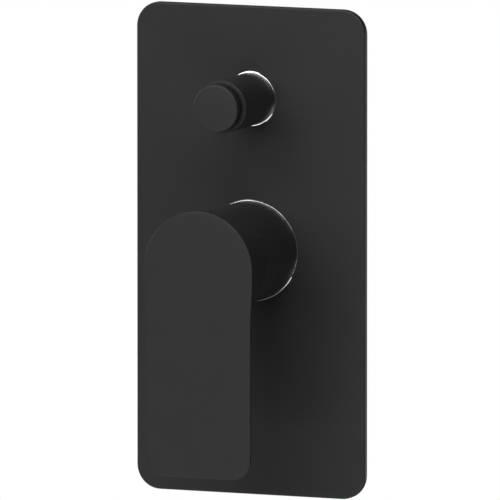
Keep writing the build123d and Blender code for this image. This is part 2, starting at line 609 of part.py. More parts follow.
# Mixer body casting: cartridge neck, barrel, two inlets, a socket for the riser and fixing lugs
mixer_body = rod_y(NECK_R, HOUSING_FRONT, BARREL_START)
mixer_body += eased_ends(rod_y(BARREL_R, BARREL_START, BARREL_END))
mixer_body += eased_ends(rod_x(BOSS_R, -INLET_FACE_X, INLET_FACE_X, INLET_Y, INLET_Z))
mixer_body += eased_ends(rod_z(RISER_BOSS_R, 0, RISER_LOW_FACE_Z, 0, RISER_Y))
mixer_body += fixing_lugs(LUG_BOTTOM_Z)
mixer_body -= rod_y(HOUSING_R + RUN_GAP, HOUSING_FRONT - OVERCUT, FLOOR_Y)
mixer_body -= rod_y(NUT_THREAD_R + SEAT_GAP, HOUSING_FRONT - OVERCUT, HOUSING_SHOULDER_Y)
for side, name in ((-1, "hot"), (1, "cold")):
    port_x, port_z = PORTS[name]
    mixer_body -= rod_y(PORT_R, FLOOR_Y - OVERCUT, INLET_Y, port_x, port_z)
    mixer_body -= rod_x(WATERWAY_R, side * INLET_STOP_X, side * INLET_FACE_X, INLET_Y, INLET_Z)
    socket_stop = side * (INLET_FACE_X - SOCKET_LENGTH)
    mixer_body -= rod_x(SOCKET_R, socket_stop, side * INLET_FACE_X, INLET_Y, INLET_Z)
riser_bottom = MIXED_PORT_Z - PORT_R - RISER_SUMP
mixer_body -= rod_y(PORT_R, FLOOR_Y - OVERCUT, RISER_Y, 0, MIXED_PORT_Z)
mixer_body -= rod_z(RISER_BORE_R, riser_bottom, RISER_LOW_FACE_Z, 0, RISER_Y)
riser_start = RISER_LOW_FACE_Z - RISER_SOCKET
mixer_body -= rod_z(RISER_R + SEAT_GAP, riser_start, RISER_LOW_FACE_Z, 0, RISER_Y)
mixer_body -= neck_groove(SLEEVE_BORE_R, NECK_SEAL_D, NECK_SEAL_Y, 0)
save("mixer_body", mixer_body)
save("sleeve_seal", ring_seal(SLEEVE_BORE_R - NECK_SEAL_D / 2, NECK_SEAL_D, NECK_SEAL_Y))

# Riser pipe that carries mixed water up to the diverter
riser_end = RISER_HIGH_FACE_Z + RISER_SOCKET
riser_pipe = rod_z(RISER_R, riser_start, riser_end, 0, RISER_Y)
riser_pipe -= rod_z(RISER_BORE_R, riser_start - OVERCUT, riser_end + OVERCUT, 0, RISER_Y)
save("riser_pipe", riser_pipe)

# Diverter body casting: button neck, stepped chamber, two outlets and fixing lugs
diverter_body = rod_y(DIVERTER_NECK_R, DIVERTER_NECK_FRONT, DIVERTER_BARREL_START, z=DIVERTER_Z)
diverter_barrel = rod_y(DIVERTER_BARREL_R, DIVERTER_BARREL_START, DIVERTER_BARREL_END, z=DIVERTER_Z)
diverter_body += eased_ends(diverter_barrel)
diverter_body += eased_ends(rod_z(BOSS_R, DIVERTER_Z, TOP_OUTLET_FACE_Z, 0, TOP_OUTLET_Y))
diverter_body += eased_ends(rod_x(BOSS_R, SIDE_OUTLET_FACE_X, 0, SIDE_OUTLET_Y, DIVERTER_Z))
diverter_body += eased_ends(rod_z(RISER_BOSS_R, RISER_HIGH_FACE_Z, DIVERTER_Z, 0, RISER_Y))
diverter_body += fixing_lugs(LUG_TOP_Z)
diverter_body -= rod_y(GLAND_R + SEAT_GAP, DIVERTER_NECK_FRONT - OVERCUT, FRONT_SEAT_Y, z=DIVERTER_Z)
diverter_body -= rod_y(SEAT_R, FRONT_SEAT_Y, REAR_SEAT_Y, z=DIVERTER_Z)
diverter_body -= rod_y(REAR_PLUG_R + SEAT_GAP, REAR_SEAT_Y, DIVERTER_BARREL_END + OVERCUT, z=DIVERTER_Z)
diverter_body -= rod_z(TOP_BORE_R, DIVERTER_Z, TOP_OUTLET_FACE_Z, 0, TOP_OUTLET_Y)
diverter_body -= rod_z(SOCKET_R, TOP_OUTLET_FACE_Z - SOCKET_LENGTH, TOP_OUTLET_FACE_Z, 0, TOP_OUTLET_Y)
diverter_body -= rod_x(SIDE_BORE_R, SIDE_OUTLET_FACE_X, 0, SIDE_OUTLET_Y, DIVERTER_Z)
side_stop = SIDE_OUTLET_FACE_X + SOCKET_LENGTH
diverter_body -= rod_x(SOCKET_R, SIDE_OUTLET_FACE_X, side_stop, SIDE_OUTLET_Y, DIVERTER_Z)
diverter_body -= rod_z(SUPPLY_BORE_R, RISER_HIGH_FACE_Z, DIVERTER_Z, 0, RISER_Y)
diverter_body -= rod_z(RISER_R + SEAT_GAP, RISER_HIGH_FACE_Z, riser_end, 0, RISER_Y)
diverter_body -= neck_groove(SHROUD_BORE_R, SHROUD_SEAL_D, SHROUD_SEAL_Y, DIVERTER_Z)
save("diverter_body", diverter_body)
save("shroud_seal", ring_seal(
    SHROUD_BORE_R - SHROUD_SEAL_D / 2, SHROUD_SEAL_D, SHROUD_SEAL_Y, z=DIVERTER_Z))
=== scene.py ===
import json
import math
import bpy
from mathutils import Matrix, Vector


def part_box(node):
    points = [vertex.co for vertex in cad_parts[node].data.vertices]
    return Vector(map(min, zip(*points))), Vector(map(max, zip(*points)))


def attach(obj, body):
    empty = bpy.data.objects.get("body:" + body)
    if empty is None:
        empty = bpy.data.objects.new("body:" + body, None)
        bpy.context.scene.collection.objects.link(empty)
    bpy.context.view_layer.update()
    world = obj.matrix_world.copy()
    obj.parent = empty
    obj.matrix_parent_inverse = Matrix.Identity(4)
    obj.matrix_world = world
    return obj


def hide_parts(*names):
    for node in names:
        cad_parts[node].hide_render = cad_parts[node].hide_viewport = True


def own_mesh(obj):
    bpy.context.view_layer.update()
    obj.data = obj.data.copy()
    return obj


bl_info = {
    "name": "Concealed Shower Mixer",
    "version": (1, 0, 0),
    "blender": (4, 5, 0),
    "location": "3D View > Sidebar > Shower Mixer",
    "description": "Dresses the packed shower mixer with its trim, its finishes and a studio",
    "category": "Add Mesh",
}

import bmesh
import bpy
import numpy as np
from bpy.props import FloatProperty, FloatVectorProperty, IntProperty, PointerProperty
from mathutils import Vector

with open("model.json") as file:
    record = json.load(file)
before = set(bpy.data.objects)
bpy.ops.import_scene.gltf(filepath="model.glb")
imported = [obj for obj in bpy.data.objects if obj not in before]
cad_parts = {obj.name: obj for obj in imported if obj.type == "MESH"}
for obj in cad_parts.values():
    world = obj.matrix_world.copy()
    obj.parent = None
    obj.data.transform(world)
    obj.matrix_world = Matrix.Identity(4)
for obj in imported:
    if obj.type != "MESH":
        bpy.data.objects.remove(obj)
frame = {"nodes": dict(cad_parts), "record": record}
NODES = frame["nodes"]
SLOT_OF = {s["node"]: s["material_slot"] for s in frame["record"]["subparts"]}
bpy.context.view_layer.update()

MM = 0.001
LEVER_LOW, LEVER_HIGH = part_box("lever_handle")
SLEEVE_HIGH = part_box("handle_sleeve")[1]
PLATE_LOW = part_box("face_plate")[0]
SHROUD_LOW, SHROUD_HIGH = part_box("diverter_shroud")
BUTTON_LOW, BUTTON_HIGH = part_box("diverter_button")
SPRING_LOW, SPRING_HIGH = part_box("button_spring")
DIVERTER_Z = (SHROUD_LOW[2] + SHROUD_HIGH[2]) / 2
PIN_LOW, PIN_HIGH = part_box("lever_pin")
PIVOT_Y = (PIN_LOW[1] + PIN_HIGH[1]) / 2

# Edges sharper than these angles in degrees stay crisp
CRISP_ANGLE = 32.0
THREAD_CRISP_ANGLE = 50.0

# Points on the grids
EASE_STEPS = 5
FINE_EASE_STEPS = 7
FLANK_EASE_STEPS = 6
ARCH_STEPS = 121
SIDE_STEPS = 31
LOW_STEPS = 25
CORNER_STEPS = 19
BASE_STEPS = 25
BOSS_STEPS = 7
EDGE_STEPS = 7
BALL_STEPS = 6
HOLE_STEPS = 48
THREAD_STEPS = 96
THREAD_ROWS_PER_TURN = 10
SPRING_STEPS_PER_TURN = 48
WIRE_STEPS = 12

# Points closer than this, in metres, become one
MERGE_DISTANCE = 2e-7

# Easing at each corner of the turned profiles, in the order of their corners
SLEEVE_EASES = np.array([0.2, 0.2, 0.06, 0.06]) * MM
SHROUD_EASES = np.array([0.2, 0.2, 0.6, 0.15, 0.15, 0.15]) * MM
BUTTON_EASES = np.array([0.0, 0.8, 0.2, 0.2, 0.2, 0.2, 0.4, 0.4, 0.2, 0.1, 0.1, 0.0]) * MM
RING_EASED_CORNERS = np.array([0.0, 1.0, 1.0, 0.0, 0.0, 1.0, 1.0, 0.0, 0.0])


# Sizes, finishes and studio that a user would change


def length(name, description, default):
    """A length property in metres."""
    return FloatProperty(name=name, description=description, default=default, unit="LENGTH", precision=5)


def degrees(name, description, default):
    """An angle property, given in degrees and kept in radians."""
    return FloatProperty(name=name, description=description, default=math.radians(default), subtype="ANGLE")


def power(name, description, default):
    """A lamp's power in watts."""
    return FloatProperty(name=name, description=description, default=default, min=0.0, unit="POWER")


def tint(name, description, default):
    """A colour property in scene-linear values."""
    return FloatVectorProperty(
        name=name, description=description, default=default, subtype="COLOR", size=3, min=0.0, max=1.0)


class LeverSizes(bpy.types.PropertyGroup):
    """Sizes of the lever handle."""
    front: length("Face", "Depth of the lever's flat face", LEVER_LOW[1])
    parting: length("Parting", "Depth of the joint between lever and sleeve", LEVER_HIGH[1])
    bottom: length("Bottom", "Height of the paddle's lower edge", LEVER_LOW[2])
    arch_radius: length("Arch radius", "Radius of the round top", LEVER_HIGH[0])
    arch_drop: length("Arch drop", "How far the arch sits below the axis", 1.3 * MM)
    side_end: length("Side end", "Height where the waist starts to ease in", -4.5 * MM)
    ease_end: length("Ease end", "Height where the paddle reaches its width", -26.4 * MM)
    half_width: length("Half width", "Half the width of the paddle", 25.15 * MM)
    corner: length("Corner", "Radius of the paddle's lower corners", 9.0 * MM)
    edge_round: length("Edge round", "Rounding along the edge of the face", 0.4 * MM)
    edge_band: length("Edge band", "Straight edge behind the face", 1.0 * MM)
    thickness: length("Thickness", "Thickness of the paddle", 6.0 * MM)
    flank_least: length("Least flank", "Least depth of the flank behind the straight edge", 0.4 * MM)
    flank_step: length("Flank step", "Depth of the first row on the boss", 0.3 * MM)
    band_ease: length("Band ease", "Easing between the straight edge and the flank", 0.3 * MM)
    crease_ease: length("Crease ease", "Easing between the flank and the paddle's back", 0.8 * MM)
    back_ease: length("Back ease", "Easing where the paddle's back meets the boss", 3.0 * MM)
    rear_radius: length("Rear radius", "Radius of the boss at the parting", 22.5 * MM)
    rim: length("Rim", "Width of the flat rim at the parting", 0.15 * MM)
    cavity_radius: length("Cavity radius", "Radius of the hollow behind the face", 18.5 * MM)
    cavity_wall: length("Cavity wall", "Wall left behind the face", 7.4 * MM)
    cavity_corner: length("Cavity corner", "Rounding round the floor of the hollow", 1.0 * MM)
    cavity_cut: length("Cavity cut", "Distance of that rounding's middle from both walls", 0.3 * MM)
    hub_radius: length("Hub radius", "Radius of the hub on the stem", 9.5 * MM)
    hub_length: length("Hub length", "Length of the hub on the stem", 16.0 * MM)
    hub_foot: length("Hub foot", "Chamfer where the hub meets the floor", 0.5 * MM)
    hub_edge: length("Hub edge", "Chamfer on the end of the hub", 0.4 * MM)
    stem_half: length("Stem half", "Half the width of the square stem hole", 4.03 * MM)
    stem_floor: length("Stem floor", "Height of the stem hole's bottom over the floor", 0.97 * MM)
    access_behind: length("Access hole", "Distance of the screw's access hole behind the face", 16.7 * MM)
    access_radius: length("Access radius", "Radius of the screw's access hole", 2.6 * MM)
    access_step: length("Access step", "Where the access hole starts, outside the hub", 1.0 * MM)
    access_top: length("Access top", "Height of the cutter's end above the axis", 30.0 * MM)
    screw_radius: length("Screw radius", "Radius of the grub screw's hole", 2.5 * MM)
    screw_low: length("Screw low", "Height of the grub screw hole's start, inside the stem hole", 3.0 * MM)


class TrimSizes(bpy.types.PropertyGroup):
    """Sizes of the sleeve, the rings, the diverter knob and the hidden threads."""
    sleeve_wall: length("Sleeve wall", "Wall of the handle sleeve", 1.2 * MM)
    parting_gap: length("Parting gap", "Running gap between lever and sleeve", 0.3 * MM)
    shroud_wall: length("Shroud wall", "Wall of the diverter shroud", 1.1 * MM)
    shroud_mouth: length("Shroud mouth", "Radius of the shroud's mouth", 9.6 * MM)
    shroud_lip: length("Shroud lip", "Depth of the lip round the shroud's mouth", 1.6 * MM)
    button_cap: length("Button cap", "Depth of the push button's cap", 2.8 * MM)
    button_skirt: length("Button skirt", "Radius of the skirt behind the push button's cap", 9.3 * MM)
    button_wall: length("Button wall", "Wall of the push button's skirt", 1.5 * MM)
    button_face: length("Button face", "Thickness of the push button's face", 3.0 * MM)
    button_hub: length("Button hub", "Radius of the hub that holds the rod", 5.0 * MM)
    button_hub_length: length("Button hub length", "Length of the hub that holds the rod", 5.4 * MM)
    rod_hole: length("Rod hole", "Radius of the hole for the rod", 3.03 * MM)
    rod_seat: length("Rod seat", "Depth of the rod's seat below the hub", 0.47 * MM)
    handle_ring_wall: length("Handle ring", "Wall of the polished ring round the sleeve", 0.42 * MM)
    diverter_ring_wall: length("Diverter ring", "Wall of the polished ring round the knob", 0.66 * MM)
    handle_ring_top: length("Handle ring top", "Width of the handle ring's shallow top", 0.12 * MM)
    diverter_ring_top: length("Diverter ring top", "Width of the diverter ring's shallow top", 0.34 * MM)
    ring_fall: degrees("Ring fall", "Slope of the rings' shallow top", 8.0)
    ring_ease: length("Ring ease", "Easing of the rings' edges", 0.006 * MM)
    ring_lip: length("Ring lip", "How far the rings stand off the plate", 0.4 * MM)
    ring_gap: length("Ring gap", "Gap between each ring and the tube in it", 0.1 * MM)
    ring_flange: length("Ring flange", "Flange of the rings behind the plate", 2.4 * MM)
    ring_ledge: length("Ring ledge", "Ledge that the rings' seals sit against, behind the sheet", 0.2 * MM)
    ring_seal: length("Ring seal", "Width of the groove for each ring's seal", 1.23 * MM)
    ring_rear: length("Ring rear", "Depth of the rings' rear", -0.2 * MM)
    sheet: length("Sheet", "Thickness of the plate's sheet", 1.2 * MM)
    thread_radius: length("Thread radius", "Bore of the threaded sockets", 9.32 * MM)
    thread_pitch: length("Thread pitch", "Pitch of the threaded sockets", 1.814 * MM)
    thread_height: length("Thread height", "Height of the thread ridges", 0.55 * MM)
    thread_length: length("Thread length", "Length of the thread in each socket", 12.0 * MM)
    thread_lead: length("Thread lead", "Plain length at the mouth of each socket", 1.0 * MM)
    thread_gap: length("Thread gap", "Gap between a socket and its threaded lining", 0.01 * MM)
    thread_wall: length("Thread wall", "Least wall of the threaded lining", 0.04 * MM)
    spring_turns: FloatProperty(name="Spring turns", description="Turns of the return spring", default=4.0)
    spring_wire: length("Spring wire", "Radius of the spring's wire", 0.55 * MM)
    round_steps: IntProperty(
        name="Round steps", description="Points round the turned trim", default=192, min=24)


class FinishColours(bpy.types.PropertyGroup):
    """Colours and gloss of the finishes."""
    coat: tint("Black coat", "Matte black coat", (0.0170, 0.0170, 0.0172))
    coat_roughness: FloatProperty(
        name="Coat roughness", description="Roughness of the black coat", default=0.38, min=0.0, max=1.0)
    coat_specular: FloatProperty(
        name="Coat specular", description="Specular level of the black coat", default=0.15, min=0.0, max=1.0)
    chrome: tint("Chrome", "Polished trim rings", (0.66, 0.67, 0.68))
    brass: tint("Brass", "Cast and machined brass", (0.72, 0.53, 0.25))
    rubber: tint("Rubber", "Seals and washers", (0.016, 0.016, 0.017))
    foam: tint("Foam", "Wall gasket", (0.045, 0.045, 0.047))
    plastic: tint("Plastic", "Cartridge plastic", (0.56, 0.56, 0.54))
    ceramic: tint("Ceramic", "Ceramic discs", (0.80, 0.78, 0.74))
    steel: tint("Steel", "Pins, screw and spring", (0.58, 0.58, 0.59))


class StudioSettings(bpy.types.PropertyGroup):
    """Camera, floor and lights."""
    azimuth: degrees("Azimuth", "Camera angle to the right", 22.077)
    elevation: degrees("Elevation", "Camera angle above level", 7.194)
    distance: length("Distance", "Camera distance from the plate", 7.5416)
    lens: FloatProperty(name="Lens", description="Focal length in millimetres", default=1214.5)
    shift_x: FloatProperty(name="Shift X", description="Sideways shift of the picture", default=-0.0009)
    shift_y: FloatProperty(name="Shift Y", description="Upward shift of the picture", default=0.00102)
    floor_height: length("Floor", "Height of the floor", -1.1)
    floor_half: length("Floor size", "Half the width of the floor", 1.06)
    lamp_distance: length("Lamps", "Distance of the soft boxes from the plate", 2.2)
    upper_power: power("Upper", "Power of the wide soft box in front, above level", 46.5)
    lower_power: power("Lower", "Power of the wide soft box in front, below level", 12.4)
    right_low_power: power("Right low", "Power of the wide soft box on the right, below level", 20.3)
    right_top_power: power("Right top", "Power of the soft box high on the right", 14.5)
    key_power: power("Key", "Power of the soft box high on the left", 7.0)
    crown_power: power("Crown", "Power of the soft box overhead, towards the left", 15.0)
    rear_power: power("Rear", "Power of the soft box above and behind", 3.0)
    edge_power: power("Edge", "Power of the soft box behind, which lights the plate's right edge", 3.6)
    left_power: power("Left", "Power of the soft box level with the plate on the left", 26.0)
    room: FloatProperty(name="Room", description="Brightness of the room as light", default=0.055, min=0.0)


# Grid surfaces


def smooth_step(u):
    """3u^2 - 2u^3, held to 0 and 1 outside the range."""
    u = np.clip(u, 0.0, 1.0)
    return u * u * (3.0 - 2.0 * u)


def unit(v):
    """Vectors along the last axis, each divided by its length."""
    return v / np.maximum(np.linalg.norm(v, axis=-1, keepdims=True), 1e-12)


def eased_path(points, ease, steps=EASE_STEPS):
    """Path with eased corners, for many columns at once.

    points is corners x columns x axes and ease the distance along both sides of each corner.
    A corner C becomes (1-u)^2 A + 2u(1-u) C + u^2 B, with A and B at that distance on its sides.
    """
    points = np.asarray(points, float)
    ease = np.broadcast_to(np.asarray(ease, float), points.shape[:2])[1:-1, :, None]
    c = points[1:-1]
    a = c + ease * unit(points[:-2] - c)
    b = c + ease * unit(points[2:] - c)
    u = np.linspace(0.0, 1.0, steps)[None, :, None, None]
    curves = (1 - u) ** 2 * a[:, None] + 2 * u * (1 - u) * c[:, None] + u ** 2 * b[:, None]
    inner = curves.reshape(-1, *points.shape[1:])
    return np.concatenate([points[:1], inner, points[-1:]])


def eased_ring(profile, ease, steps=EASE_STEPS):
    """Closed (radius, depth) profile with every corner eased as in eased_path."""
    profile = np.asarray(profile, float)[:, None, :]
    ease = np.broadcast_to(np.asarray(ease, float), profile.shape[:1])[:, None]
    around = np.concatenate([profile[-1:], profile, profile[:1]])
    eases = np.concatenate([ease[-1:], ease, ease[:1]])
    return eased_path(around, eases, steps)[1:-1, 0]


def turned_grid(profile, count, z):
    """Profile carried round the depth axis at height z: x = r sin t, y = depth, height = z + r cos t."""
    t = np.linspace(0.0, 2 * np.pi, count, endpoint=False)
    r, y = profile[:, 0:1], profile[:, 1:2]
    return np.stack([r * np.sin(t), y + 0 * t, z + r * np.cos(t)], axis=-1)


def skin(name, grid, wrap_rows=False, sharp=CRISP_ANGLE):
    """Mesh object from rows x columns x 3 points; columns close on themselves, rows too if asked.

    Poles and seams are merged, faces point outwards and edges sharper than the angle stay crisp.
    """
    rows, cols = grid.shape[:2]
    i = np.arange(rows if wrap_rows else rows - 1)[:, None]
    j = np.arange(cols)[None, :]
    down, right = (i + 1) % rows, (j + 1) % cols
    quads = np.stack([i * cols + j, i * cols + right, down * cols + right, down * cols + j], axis=-1)
    mesh = bpy.data.meshes.new(name)
    mesh.from_pydata(grid.reshape(-1, 3).tolist(), [], quads.reshape(-1, 4).tolist())
    bm = bmesh.new()
    bm.from_mesh(mesh)
    bmesh.ops.remove_doubles(bm, verts=bm.verts, dist=MERGE_DISTANCE)
    bmesh.ops.dissolve_degenerate(bm, dist=MERGE_DISTANCE, edges=bm.edges)
    bmesh.ops.recalc_face_normals(bm, faces=bm.faces)
    bm.to_mesh(mesh)
    bm.free()
    mesh.shade_smooth()
    mesh.set_sharp_from_angle(angle=math.radians(sharp))
    piece = bpy.data.objects.new(name, mesh)
    bpy.context.scene.collection.objects.link(piece)
    return piece


def drill(piece, cutter):
    """Cuts the cutter out of the piece and keeps the result as the piece's own mesh."""
    cut = piece.modifiers.new("access_hole", "BOOLEAN")
    cut.operation = "DIFFERENCE"
    cut.solver = "EXACT"
    cut.object = cutter
    bpy.context.view_layer.update()
    shaped = piece.evaluated_get(bpy.context.evaluated_depsgraph_get())
    mesh = bpy.data.meshes.new_from_object(shaped)
    piece.modifiers.clear()
    old, piece.data = piece.data, mesh
    mesh.name = piece.name
    mesh.shade_smooth()
    mesh.set_sharp_from_angle(angle=math.radians(CRISP_ANGLE))
    bpy.data.meshes.remove(old)
    bpy.data.objects.remove(cutter)


def place(piece, body, node, finish):
    """Gives a finished piece its material and its body, and hides the node that it stands for."""
    piece.data.materials.clear()
    piece.data.materials.append(finish)
    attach(piece, body)
    if node:
        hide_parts(node)


# Lever handle

# Rows of the face from its spine to its edge, and the most that an easing takes of the run beside it
FACE_SHARES = np.array([0.0, 0.3, 0.6, 0.85, 1.0])
CREASE_SHARE = 0.4
BACK_SHARE = 0.45

# Rounds that settle where the straight side meets the boss
DEPTH_ROUNDS = 12


def lever_outline(s):
    """The arch's angles, then the front outline's runs of (width, height): arch, right, base and left.

    Arch: x = R sin t, z = R cos t - drop. Side: x goes from R to the half width by 3u^2 - 2u^3.
    Corners are quarter circles and the left side mirrors the right.
    """
    t = np.linspace(-np.pi / 2, np.pi / 2, ARCH_STEPS)
    arch = np.stack([s.arch_radius * np.sin(t), s.arch_radius * np.cos(t) - s.arch_drop], axis=1)
    side_z = np.linspace(-s.arch_drop, s.ease_end, SIDE_STEPS)[1:]
    ease = smooth_step((s.side_end - side_z) / (s.side_end - s.ease_end))
    side = np.stack([s.arch_radius + (s.half_width - s.arch_radius) * ease, side_z], axis=1)
    low_z = np.linspace(s.ease_end, s.bottom + s.corner, LOW_STEPS)[1:]
    low = np.stack([np.full_like(low_z, s.half_width), low_z], axis=1)
    a = np.linspace(0.0, np.pi / 2, CORNER_STEPS)[1:]
    corner = np.stack(
        [s.half_width - s.corner * (1 - np.cos(a)), s.bottom + s.corner * (1 - np.sin(a))], axis=1)
    right = np.concatenate([side, low, corner])
    base_x = np.linspace(right[-1, 0], -right[-1, 0], BASE_STEPS)[1:-1]
    base = np.stack([base_x, np.full_like(base_x, s.bottom)], axis=1)
    return t, arch, right, base, right[::-1] * (-1, 1)


def lever_grid(s):
    """Skin of the lever, row by row from the middle of its face to the bottom of its stem hole.

    Face rows shrink the outline towards a spine. The edge is a quarter round and a straight band.
    Round the top the band runs into a cone to the rear circle. Round the paddle it turns into a
    45 degree chamfer and a flat back that meets the cone in an eased corner. Inside, circles follow
    a ball about the lift pivot, the cavity, the hub and the square stem hole.
    """
    t, arch, right, base, left = lever_outline(s)
    outline = np.concatenate([arch, right, base, left])
    along = np.roll(outline, -1, axis=0) - np.roll(outline, 1, axis=0)
    normal = unit(np.stack([-along[:, 1], along[:, 0]], axis=1))
    band = s.front + s.edge_band
    back = s.front + s.thickness
    chamfer = s.thickness - s.edge_band

    def cone(y):
        """Radius and middle height of the boss at a depth."""
        share = (y - band) / (s.parting - band)
        return s.arch_radius + (s.rear_radius - s.arch_radius) * share, -s.arch_drop * (1 - share)

    back_r, back_mid = cone(back)
    half = len(right)
    side_x, side_z = right[:, 0], right[:, 1]
    boss_x = np.sqrt(np.maximum(back_r ** 2 - (side_z - back_mid) ** 2, 0.0))
    covered = (boss_x > side_x - chamfer) & (side_z > s.ease_end)
    first_free = int(np.argmin(covered))
    angle_free = np.pi - np.arcsin(base[0, 0] / back_r)
    angle_right = np.arccos(np.clip((side_z - back_mid) / back_r, -1.0, 1.0))
    angle_held = angle_right[first_free - 1]
    angle_right[first_free:] = np.linspace(angle_held, angle_free, half - first_free + 2)[1:-1]
    angle_base = np.pi - np.arcsin(base[:, 0] / back_r)
    angle = np.concatenate([t, angle_right, angle_base, 2 * np.pi - angle_right[::-1]])

    depth = np.zeros(half)
    for _ in range(DEPTH_ROUNDS):
        r, mid = cone(band + depth)
        depth = side_x - np.sqrt(np.maximum(r ** 2 - (side_z - mid) ** 2, 0.0))
    depth = np.clip(depth, s.flank_least, chamfer)
    depth = np.concatenate([np.full(len(t), s.flank_least), depth, np.full(len(base), chamfer), depth[::-1]])
    free_right = np.arange(half) >= first_free
    no_arch, no_base = np.zeros(len(t), bool), np.zeros(len(base), bool)
    free = np.concatenate([no_arch, free_right, ~no_base, free_right[::-1]])
    held = np.concatenate([no_arch, ~free_right, no_base, ~free_right[::-1]])

    def ring(r, y, mid=0.0):
        """Circle of points at the skin's own angles."""
        r, y, mid = (np.broadcast_to(v, angle.shape) for v in (r, y, mid))
        return np.stack([r * np.sin(angle), y, mid + r * np.cos(angle)], axis=1)

    def layer(inset, y):
        """Outline moved inwards and set at a depth."""
        flat = outline - normal * np.broadcast_to(inset, angle.shape)[:, None]
        return np.stack([flat[:, 0], np.broadcast_to(y, angle.shape), flat[:, 1]], axis=1)

    crease_y = band + depth
    crease_r, crease_mid = cone(crease_y)
    on_cone = ring(crease_r, crease_y, crease_mid)
    flat_x = np.sqrt(np.maximum(crease_r ** 2 - (outline[:, 1] - crease_mid) ** 2, 0.0))
    on_cone[held, 0] = (flat_x * np.sign(outline[:, 0]))[held]
    on_cone[held, 2] = outline[held, 1]
    first = np.where(free[:, None], layer(chamfer, back), on_cone)
    next_y = crease_y + s.flank_step
    next_r, next_mid = cone(next_y)
    second = np.where(free[:, None], ring(back_r, back, back_mid), ring(next_r, next_y, next_mid))
    rear = ring(s.rear_radius, s.parting)
    start, edge = layer(0.0, s.front + s.edge_round), layer(0.0, band)
    run_back = np.linalg.norm(second - first, axis=1)
    run_boss = np.linalg.norm(rear - second, axis=1)
    run_edge = np.linalg.norm(first - edge, axis=1)
    ease_edge = np.minimum(s.band_ease, CREASE_SHARE * run_edge)
    ease_first = np.minimum(s.crease_ease, CREASE_SHARE * np.minimum(run_edge, run_back))
    ease_second = np.minimum(s.back_ease, BACK_SHARE * np.minimum(run_back, run_boss))
    none = np.zeros_like(angle)
    eases = [none, ease_edge, ease_first, ease_second, none]
    flank = eased_path([start, edge, first, second, rear], eases, FLANK_EASE_STEPS)
    boss_steps = np.linspace(0.0, 1.0, BOSS_STEPS)[1:, None, None]
    flank = np.concatenate([flank[:-1], flank[-2] + (rear - flank[-2]) * boss_steps])

    round_in = s.edge_round
    face_edge = layer(round_in, s.front)
    spine_z = np.clip(face_edge[:, 2], s.bottom + s.half_width, -s.arch_drop)
    spine = np.stack([0 * angle, np.full_like(angle, s.front), spine_z], axis=1)
    face = spine + (face_edge - spine) * FACE_SHARES[:, None, None]
    turn = np.linspace(0.0, np.pi / 2, EDGE_STEPS)[1:-1]
    edge_rows = [layer(round_in * (1 - np.sin(a)), s.front + round_in * (1 - np.cos(a))) for a in turn]

    rim_r = s.rear_radius - s.rim
    ball = math.hypot(rim_r, PIVOT_Y - s.parting)
    ball_r = np.linspace(rim_r, s.cavity_radius, BALL_STEPS)
    cavity_y = s.front + s.cavity_wall
    hub_y = cavity_y + s.hub_length
    inside = [(r, PIVOT_Y - math.sqrt(ball ** 2 - r ** 2)) for r in ball_r]
    inside += [
        (s.cavity_radius, cavity_y + s.cavity_corner),
        (s.cavity_radius - s.cavity_cut, cavity_y + s.cavity_cut),
        (s.cavity_radius - s.cavity_corner, cavity_y), (s.hub_radius + s.hub_foot, cavity_y),
        (s.hub_radius, cavity_y + s.hub_foot), (s.hub_radius, hub_y - s.hub_edge),
        (s.hub_radius - s.hub_edge, hub_y)]
    inner = [ring(r, y) for r, y in inside]
    square = s.stem_half / np.maximum(np.abs(np.sin(angle)), np.abs(np.cos(angle)))
    floor_y = cavity_y + s.stem_floor
    inner += [ring(square, hub_y), ring(square, floor_y), ring(0.0, floor_y)]
    return np.concatenate([face, np.stack(edge_rows), flank, np.stack(inner)])


def access_cutter(s):
    """Stepped round cutter for the grub screw and its access hole, standing on the height axis."""
    y = s.front + s.access_behind
    step = s.hub_radius + s.access_step
    profile = np.array([
        (0.0, s.screw_low), (s.screw_radius, s.screw_low), (s.screw_radius, step),
        (s.access_radius, step), (s.access_radius, s.access_top), (0.0, s.access_top)])
    t = np.linspace(0.0, 2 * np.pi, HOLE_STEPS, endpoint=False)
    r, z = profile[:, 0:1], profile[:, 1:2]
    return skin("access_cutter", np.stack([r * np.cos(t), y + r * np.sin(t), z + 0 * t], axis=-1))


# Turned trim


def sleeve_profile(trim, lever):
    """Tube whose front follows a ball about the lift pivot, one running gap inside the lever's."""
    outer = SLEEVE_HIGH[0]
    inner = outer - trim.sleeve_wall
    ball = math.hypot(lever.rear_radius - lever.rim, PIVOT_Y - lever.parting) - trim.parting_gap
    front_out = PIVOT_Y - math.sqrt(ball ** 2 - outer ** 2)
    front_in = PIVOT_Y - math.sqrt(ball ** 2 - inner ** 2)
    rear = SLEEVE_HIGH[1]
    corners = [(inner, rear), (outer, rear), (outer, front_out), (inner, front_in)]
    return eased_ring(corners, SLEEVE_EASES)


def shroud_profile(trim):
    """Tube with a lip round its mouth and an eased front edge."""
    outer, front, rear = SHROUD_HIGH[0], SHROUD_LOW[1], SHROUD_HIGH[1]
    bore, lip = outer - trim.shroud_wall, front + trim.shroud_lip
    corners = [
        (bore, rear), (outer, rear), (outer, front), (trim.shroud_mouth, front), (trim.shroud_mouth, lip),
        (bore, lip)]
    return eased_ring(corners, SHROUD_EASES, FINE_EASE_STEPS)


